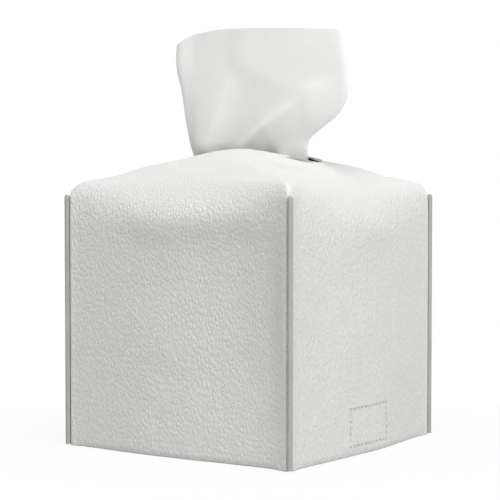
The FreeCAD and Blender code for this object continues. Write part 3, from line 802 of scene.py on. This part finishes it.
def make_seam_stitches(name, corner):
    """Stitches on both faces of the turned-in edges in one corner."""
    mesh = bmesh.new()
    reach = (CORNER_REACH - ROOT_TWO * LEATHER - TURNED_IN + TURNED_IN_STITCHES) / ROOT_TWO
    for way in (-1, 1):
        face = turned(corner, -way / ROOT_TWO, way / ROOT_TWO, 0)
        start, end = (turned(corner, reach, reach, height) + face * LEATHER
                      for height in (SEAM_MARGIN, CORNER_TOP - SEAM_MARGIN))
        stitch_run(mesh, start, end, lambda point: (point, face))
    stitches = finish_piece(f"seam_stitches_{name}", mesh, (THREAD,), "cover")
    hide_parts(f"corner_thread_{name}")


def make_stitch_box(name, node, body, corners, surface):
    """Stitches round a rectangle that holds a sewn piece."""
    mesh = bmesh.new()
    for start, end in zip(corners, corners[1:] + corners[:1]):
        stitch_run(mesh, start, end, surface)
    stitches = finish_piece(name, mesh, (THREAD,), body)
    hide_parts(node)


def on_panel(side):
    """Surface of the panel that faces +X or -X, for the stitches on it."""
    way = 1 if side == 0 else -1

    def surface(point):
        reach = PANEL_HALF + panel_sway(side, way * point.y, point.z) - STITCH_SINK
        return Vector((way * reach, point.y, point.z)), Vector((way, 0, 0))

    return surface


def upright_box(low, high):
    """Corners of a box of stitches on a panel."""
    places = ((-BOX_HALF, low), (BOX_HALF, low), (BOX_HALF, high), (-BOX_HALF, high))
    return [Vector((0, y, z)) for y, z in places]


def level_box(height):
    """Corners of a box of stitches round a patch."""
    along, across = PATCH_BOX
    places = ((-along, -across), (along, -across), (along, across), (-along, across))
    return [Vector((PATCH_X + x, y, height)) for x, y in places]


def on_strap(way):
    """Surface of a level strap, seen from above or from below."""
    return lambda point: (point, Vector((0, 0, way)))


for corner_name, corner_number in CORNERS.items():
    make_seam_stitches(corner_name, corner_number)
make_stitch_box("belt_root_stitches", "belt_root_thread", "cover", upright_box(*BELT_BOX), on_panel(0))
make_stitch_box("closing_tab_stitches", "closing_tab_thread", "cover", upright_box(*TAB_BOX), on_panel(2))
make_stitch_box("hook_patch_stitches", "hook_patch_thread", "belt", level_box(HOOK_STITCHES), on_strap(-1))
make_stitch_box("loop_patch_stitches", "loop_patch_thread", "cover", level_box(LOOP_STITCHES), on_strap(1))


# Belt and closing tab

STRAP_HALF = 18.5
STRAP_THICK = 1.2
STRAP_COLUMNS = 16
SEWN_END = 24.4
SEWN_STEPS = 16
BEND_STEPS = 6
HINGE_X = 61.2

# Each strap: radius of its bend, level, tip and steps of its level part; radius of its corners at both ends;
# and the heights between which it leaves the panel
BELT_PATH = (1.2, 1.1, -47.1, 56)
BELT_CORNERS = (2.0, 7.0)
BELT_LEAVES = (1.0, 3.0)
TAB_PATH = (2.1, 4.2, -15.1, 24)
TAB_CORNERS = (2.0, 2.0)
TAB_LEAVES = (4.0, 8.0)


def even_run(start, end, count):
    """Places from start up to, but without, end, closer together at both ends."""
    places = []
    for step in range(count):
        share = (1 - math.cos(math.pi * step / count)) / 2
        places.append(tuple(low + (high - low) * share for low, high in zip(start, end)))
    return places


def strap_path(way, bend, level, tip, steps):
    """Places (x, z) down inside the right panel, way 1, or left, -1, round a bend and level to a tip."""
    x, z = way * (HINGE_X - bend), level + bend
    path = even_run((way * HINGE_X, SEWN_END), (way * HINGE_X, z), SEWN_STEPS)
    for step in range(BEND_STEPS):
        turn = math.pi / 2 * step / BEND_STEPS
        path.append((x + way * bend * math.cos(turn), z - bend * math.sin(turn)))
    return path + even_run((x, level), (tip, level), steps) + [(tip, level)]


def strap_mesh(way, path, end_corners, leaves):
    """Strap with round corners, half its thickness to either side of its path and its skin outwards."""
    lengths = [0]
    for start, end in zip(path, path[1:]):
        lengths.append(lengths[-1] + math.dist(start, end))

    def place(column, row):
        (x, z), run = path[row], lengths[row]
        half = STRAP_HALF
        for radius, left in zip(end_corners, (run, lengths[-1] - run)):
            if left < radius:
                half = STRAP_HALF - radius + math.sqrt(max(0, radius ** 2 - (radius - left) ** 2))
        y = half * (2 * column / STRAP_COLUMNS - 1)
        return x + way * panel_sway(1 - way, way * y, z) * ease(*leaves, z), y, z

    mesh = grid_piece(STRAP_COLUMNS, len(path) - 1, place)
    bmesh.ops.recalc_face_normals(mesh, faces=mesh.faces)
    if mesh.faces[:][len(mesh.faces) // 2].normal.z > 0:
        bmesh.ops.reverse_faces(mesh, faces=mesh.faces)
    mesh.normal_update()
    for vert in mesh.verts:
        vert.co += vert.normal * STRAP_THICK / 2 * MM
    skin = set(mesh.faces)
    bmesh.ops.solidify(mesh, geom=mesh.faces[:], thickness=STRAP_THICK * MM)
    for face in mesh.faces:
        face.material_index = 0 if face in skin else 1
    bmesh.ops.recalc_face_normals(mesh, faces=mesh.faces)
    return mesh


def make_belt():
    """Belt from its sewn end inside the right panel, folded under the hem and along under the carton."""
    mesh = strap_mesh(1, strap_path(1, *BELT_PATH), BELT_CORNERS, BELT_LEAVES)
    belt = finish_piece("belt_strip", mesh, (SKIN_MATERIAL, BACKING), None)
    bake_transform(belt)
    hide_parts("belt_root", "belt_strap")


def make_closing_tab():
    """Tab from its sewn end inside the left panel, bent to lie level over the belt's tip."""
    mesh = strap_mesh(-1, strap_path(-1, *TAB_PATH), TAB_CORNERS, TAB_LEAVES)
    tab = finish_piece("closing_tab_strip", mesh, (SKIN_MATERIAL, BACKING), "cover")
    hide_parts("closing_tab")


make_belt()
make_closing_tab()


# Tissue

# Outline of the sheet: its reach to the left and to the right at each height, and the height of its upper
# edge at each share of its width
SHEET_FOOT = 61.8
SHEET_LEFT = ((61, 34.0), (138, 35.0), (146, 37.5), (158, 39.5), (172, 41.5), (186, 44.5), (203, 43.5))
SHEET_RIGHT = ((61, 31.0), (141, 32.0), (147, 33.0), (152, 39.0), (158, 48.0), (164, 52.8), (170, 54.8),
               (186, 53.2), (203, 50.2))
SHEET_TOP = ((0, 196.0), (0.06, 199.4), (0.15, 201.2), (0.32, 202.2), (0.6, 201.2), (1, 199.0))

# Mesh of the sheet: columns of a layer and of the fold between the layers, rows, and the fold's radius
SHEET_LAYER = 80
SHEET_FOLD = 8
SHEET_ROWS = 120
SHEET_FOLD_RADIUS = 0.8
SHEET_THICK = 0.3
SHEET_SMOOTH = 0.5

# Gathers in and under the slot: depth; number across, start, drift and share of waves and ripples; and how
# uneven they are, with their share at the foot
GATHER_DEPTH = 4.1
GATHERS = ((3.1, 0.12, 0.3, 1.0), (6.7, 0.4, 0.0, 0.35))
GATHER_DRIFT_SCALE = (1.5, 0.018, 4.0)
GATHER_UNEVEN = 0.15
GATHER_UNEVEN_SCALE = (3.0, 0.02, 6.0)
GATHER_FOOT_SHARE = 0.7
GATHER_GROWS = (64, 118)
GATHER_ENDS = (146, 124)
GATHER_LEFT_EDGE = (0, 0.12)
GATHER_RIGHT_EDGE = (1.15, 0.85)

# Sheet above the slot: heights between which it comes free, curl of its left edge, bulge of both layers in
# the slot and above it, gap between them, and unevenness
SHEET_FREE = (141, 160)
CURL_DEPTH = 2.6
CURL_GROWS = (-33, -47)
BELLY_POWER = 0.45
FRONT_BELLY = (2.2, 0.8)
BACK_BELLY = (1.2, 6.0)
LAYER_GAP = 0.25
LAYER_GAP_GROWS = (0, 0.1)
BACK_EDGE = 1.6
BACK_EDGE_GROWS = (0.12, 0)
SHEET_UNEVEN = 1.2
FRONT_UNEVEN_SCALE = (0.03, 0.025, 2.0)
BACK_UNEVEN_SCALE = (0.03, 0.025, 9.0)

# Folds of the front layer: ends as (x, z), height, width to the left and right of the way between them,
# roundness of the crest, and share of the way from which it sinks
FOLDS = (
    ((-29, 136), (-10, 182), 4.2, 12.0, 6.5, 3.0, 0.25),
    ((-6, 186), (33, 170), 1.0, 36.0, 9.0, 5.0, 0.6),
    ((33, 170), (38, 146), 1.3, 18.0, 5.0, 4.0, 0.25),
    ((10, 154), (33, 168), 1.4, 2.6, 7.0, 1.5, 1.0),
    ((-14, 138), (10, 154), 1.3, 2.4, 5.0, 1.5, 1.0),
)
FOLD_FADE = 0.3
FOLD_MEETING = 4
FOLD_GROWS = (134, 146)
FOLD_LEFT_EDGE = (0, 0.1)
FOLD_RIGHT_EDGE = (1, 0.8)


def fold_height(x, z, line):
    """Height of one fold at a place on the sheet: a crest that falls away on both sides."""
    (x0, z0), (x1, z1), height, left, right, crest, sink = line
    length = math.hypot(x1 - x0, z1 - z0)
    run = ((x - x0) * (x1 - x0) + (z - z0) * (z1 - z0)) / length ** 2
    off = ((x - x0) * (z1 - z0) - (z - z0) * (x1 - x0)) / length
    width = left if off < 0 else right
    fall = (math.hypot(off, crest) - crest) / width
    return height * math.exp(-fall) * ease(-FOLD_FADE, 0, run) * ease(1 + FOLD_FADE, sink, run)


def folds_height(x, z):
    """Height of all folds at a place, the highest of them with soft changes from one to the next."""
    return sum(fold_height(x, z, line) ** FOLD_MEETING for line in FOLDS) ** (1 / FOLD_MEETING)


def gather(across, z):
    """How far the gathers push the sheet out of its middle plane."""
    drift = waver(across, z, GATHER_DRIFT_SCALE)
    waves = sum(share * math.sin(math.tau * (count * across + start + strays * drift))
                for count, start, strays, share in GATHERS)
    waves *= 1 - GATHER_UNEVEN + GATHER_UNEVEN * waver(across, z, GATHER_UNEVEN_SCALE)
    waves *= GATHER_FOOT_SHARE + (1 - GATHER_FOOT_SHARE) * ease(*GATHER_GROWS, z)
    waves *= ease(*GATHER_LEFT_EDGE, across) * ease(*GATHER_RIGHT_EDGE, across)
    return GATHER_DEPTH * waves * ease(*GATHER_ENDS, z)


def sheet_place(across, up, front):
    """Place on one layer of the sheet: across from its folded edge to its open edges, up from 0 to 1."""
    top = along_table(SHEET_TOP, across)
    z = SHEET_FOOT + (top - SHEET_FOOT) * up
    left, right = along_table(SHEET_LEFT, z), along_table(SHEET_RIGHT, z)
    x = -left + across * (left + right)
    free = ease(*SHEET_FREE, z)
    y = gather(across, z) - CURL_DEPTH * free * ease(*CURL_GROWS, x)
    belly = math.sin(math.pi * across) ** BELLY_POWER
    apart = LAYER_GAP * ease(*LAYER_GAP_GROWS, across)
    held, freed = FRONT_BELLY if front else BACK_BELLY
    apart += held * belly + freed * belly * free
    if front:
        y -= apart
        y -= (folds_height(x, z) * ease(*FOLD_GROWS, z)
              * ease(*FOLD_LEFT_EDGE, across) * ease(*FOLD_RIGHT_EDGE, across))
    else:
        y += apart + BACK_EDGE * ease(*BACK_EDGE_GROWS, across)
    y += SHEET_UNEVEN * waver(x, z, FRONT_UNEVEN_SCALE if front else BACK_UNEVEN_SCALE) * free * belly
    return x, y, z


def sheet_vertex(column, row):
    """Vertex of the sheet: along the front layer, round the fold and along the back layer."""
    up = row / SHEET_ROWS
    if column <= SHEET_LAYER:
        return sheet_place(1 - column / SHEET_LAYER, up, True)
    column -= SHEET_LAYER
    if column >= SHEET_FOLD:
        return sheet_place((column - SHEET_FOLD) / SHEET_LAYER, up, False)
    x, y, z = sheet_place(0, up, True)
    turn = math.pi * column / SHEET_FOLD
    return x - SHEET_FOLD_RADIUS * math.sin(turn), y + SHEET_FOLD_RADIUS * (1 - math.cos(turn)), z


def make_sheet():
    """Sheet of facial tissue, folded double, gathered in the slot and open above it."""
    columns = 2 * SHEET_LAYER + SHEET_FOLD
    mesh = grid_piece(columns, SHEET_ROWS, sheet_vertex)
    bmesh.ops.smooth_vert(mesh, verts=[vert for vert in mesh.verts if not vert.is_boundary],
                          factor=SHEET_SMOOTH, use_axis_x=True, use_axis_y=True, use_axis_z=True)
    bmesh.ops.recalc_face_normals(mesh, faces=mesh.faces)
    bmesh.ops.solidify(mesh, geom=mesh.faces[:], thickness=SHEET_THICK * MM)
    sheet = finish_piece("tissue_sheet", mesh, (TISSUE,), "sheet")
    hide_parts("pulled_sheet")


# Stack: size, layers, how far and how unevenly their edges are drawn in, and the form of one edge as (share
# of its height, distance drawn in)
STACK_HALF = 54.2
STACK_BASE = 6.3
STACK_TOP = 61.2
STACK_LAYERS = 22
STACK_ROWS = 10
STACK_LENGTH_SHARE = 0.995
STACK_RIM = 9
STACK_PULL = 1.5
STACK_UNEVEN = 1.2
STACK_UNEVEN_SCALE = (0.8, 0.3, 0.5)
STACK_EDGE = ((0.95, 0.9), (0.5, 0.0), (0.05, 0.9))


def make_stack():
    """Folded sheets left in the carton: soft layers, round where they are folded."""
    step = (STACK_TOP - STACK_BASE) / STACK_LAYERS
    rim = [(STACK_HALF - STACK_RIM, STACK_TOP)]
    for layer in reversed(range(STACK_LAYERS)):
        pull = STACK_PULL + STACK_UNEVEN * waver(layer, 1, STACK_UNEVEN_SCALE)
        for share, back in STACK_EDGE:
            rim.append((STACK_HALF - pull - back, STACK_BASE + (layer + share) * step))
    rim.append((STACK_HALF - STACK_RIM, STACK_BASE))
    loop = rim + [(-y, z) for y, z in reversed(rim)]

    def place(column, row):
        y, z = loop[column]
        return STACK_HALF * (2 * row / STACK_ROWS - 1) * STACK_LENGTH_SHARE, y, z

    mesh = grid_piece(len(loop), STACK_ROWS, place, wrap_columns=True)
    close_ends(mesh)
    pile = finish_piece("tissue_pile", mesh, (TISSUE,), "cover")
    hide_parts("tissue_stack")


make_sheet()
make_stack()


# Pieces that keep their solids

def dress(node, material):
    """Gives a carried-over solid its material."""
    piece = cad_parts[node]
    piece.data.materials.clear()
    piece.data.materials.append(material)


dress("hook_patch", HOOKS)
dress("loop_patch", LOOPS)
for board in ("carton_wall", "carton_bottom", "carton_top"):
    dress(board, BOARD)


# Camera, light and floor, in metres

CAMERA_TURN = math.radians(34.49)
CAMERA_PITCH = math.radians(2.49)
CAMERA_AWAY = 0.778
CAMERA_HEIGHT = 0.1274
CAMERA_SENSOR = 36
CAMERA_CLIP = (0.01, 50)

# Focal length in pixels of the picture, its width in pixels, and its shift as a share of that
LENS_PIXELS = 1582.95
IMAGE_PIXELS = 500
IMAGE_SHIFT = -0.0046

# Lamps: name, place, size and power
LAMPS = (
    ("overhead_softbox", (0.45, -0.47, 1.43), 1.2, 20.5),
    ("right_softbox", (1.5, -0.4, 0.7), 1.0, 10.5),
    ("front_fill", (-1.4, -1.2, 0.7), 1.0, 2.5),
)
LAMP_AIM = Vector((0, 0, 0.1))
WORLD_LIGHT = 0.31
WHITE = (1, 1, 1, 1)

# Floor: half its width, its depth under the object, and the share of its shadow that is seen, with the
# distances from the middle between which it fades
FLOOR_HALF = 6
FLOOR_DROP = 0.0004
FLOOR_SHADOW_SHARE = 0.08
FLOOR_SHADOW_FADES = (0.09, 0.20)


def make_camera():
    """Camera a little above the corner seams, turned to the front right corner."""
    data = bpy.data.cameras.new("camera")
    camera = add_object("camera", data)
    sine, cosine = math.sin(CAMERA_TURN), math.cos(CAMERA_TURN)
    camera.location = (sine * CAMERA_AWAY, -cosine * CAMERA_AWAY, CAMERA_HEIGHT)
    camera.rotation_euler = (math.pi / 2 - CAMERA_PITCH, 0, CAMERA_TURN)
    data.sensor_width = CAMERA_SENSOR
    data.lens = LENS_PIXELS / IMAGE_PIXELS * data.sensor_width
    data.shift_x = IMAGE_SHIFT
    data.clip_start, data.clip_end = CAMERA_CLIP
    bpy.context.scene.camera = camera


def add_softbox(name, place, size, power):
    """Soft square lamp aimed at the middle of the cover."""
    data = bpy.data.lights.new(name, "AREA")
    data.size, data.energy = size, power
    lamp = add_object(name, data)
    lamp.location = place
    lamp.rotation_euler = (LAMP_AIM - Vector(place)).to_track_quat("-Z", "Y").to_euler()


def seen_white(tree):
    """1 for rays from the eye, in gloss and through tissue, which meet plain white; 0 for the rest."""
    path = add_node(tree, "LightPath")
    seen = path["Is Camera Ray"]
    for kind in ("Is Glossy Ray", "Is Transmission Ray"):
        seen = add_node(tree, "Math", {0: seen, 1: path[kind]}, operation="MAXIMUM")[0]
    return seen


def make_world():
    """White surroundings for the eye and even, weaker light for the object."""
    world = bpy.data.worlds.new("studio")
    bpy.context.scene.world = world
    world.use_nodes = True
    tree = world.node_tree
    light = tree.nodes["Background"]
    light.inputs["Color"].default_value = WHITE
    light.inputs["Strength"].default_value = WORLD_LIGHT
    white = add_node(tree, "Background", {"Color": WHITE, "Strength": 1.0})
    mixed = add_node(tree, "MixShader", {0: seen_white(tree), 1: light.outputs[0], 2: white[0]})
    tree.links.new(mixed[0], tree.nodes["World Output"].inputs["Surface"])


def make_floor():
    """Pale floor that takes a faint shadow near the cover and runs into the white background."""
    mesh = bmesh.new()
    bmesh.ops.create_grid(mesh, x_segments=1, y_segments=1, size=FLOOR_HALF)
    data = bpy.data.meshes.new("floor")
    mesh.to_mesh(data)
    mesh.free()
    floor = add_object("floor", data)
    floor.location.z = -FLOOR_DROP
    material, tree, coords = new_material("pale_floor", Roughness=0.9)
    shader = tree.nodes[SHADER]
    shader.inputs["Base Color"].default_value = linear("#d2d2d2")
    glow = add_node(tree, "Emission", {"Color": WHITE, "Strength": 1.0})
    away = add_node(tree, "VectorMath", {0: coords}, operation="LENGTH")["Value"]
    begin, end = FLOOR_SHADOW_FADES
    share = add_node(tree, "MapRange", {"Value": away, "From Min": begin, "From Max": end,
                                       "To Min": 1 - FLOOR_SHADOW_SHARE, "To Max": 1.0})[0]
    share = add_node(tree, "Math", {0: seen_white(tree), 1: share}, operation="MULTIPLY")[0]
    mixed = add_node(tree, "MixShader", {0: share, 1: shader.outputs[0], 2: glow[0]})
    tree.links.new(mixed[0], tree.nodes["Material Output"].inputs["Surface"])
    data.materials.append(material)


make_camera()
for lamp_values in LAMPS:
    add_softbox(*lamp_values)
make_world()
make_floor()
bpy.context.scene.view_settings.view_transform = "Standard"
